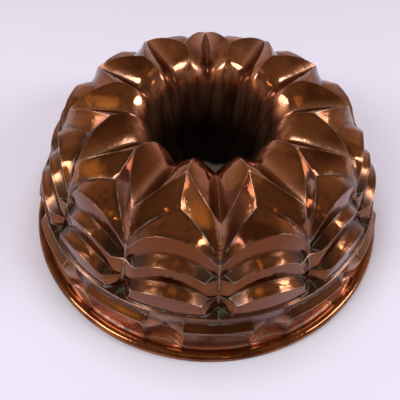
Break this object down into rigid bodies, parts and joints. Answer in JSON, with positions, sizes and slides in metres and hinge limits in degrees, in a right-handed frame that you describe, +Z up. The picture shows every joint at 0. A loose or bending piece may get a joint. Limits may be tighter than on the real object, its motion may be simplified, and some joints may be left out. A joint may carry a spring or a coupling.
{
  "type": "ring cake mould",
  "caption": "Domed copper ring cake mould with a fluted centre funnel, a crown of stepped petals, a band of raised bars and a rolled bead at the rim.",
  "frame": {"origin": "centre of the rim on the table, on the mould's axis", "axes": "+Z up along the mould's axis, from the open side at the rim to the crown; a groove between two petals faces -Y"},
  "size_m": [0.24, 0.24, 0.0887],
  "materials": {
    "copper": "worn, polished on the edges and tarnished in the creases"
  },
  "bodies": {
    "root": {"mould": "copper"}
  },
  "joints": []
}
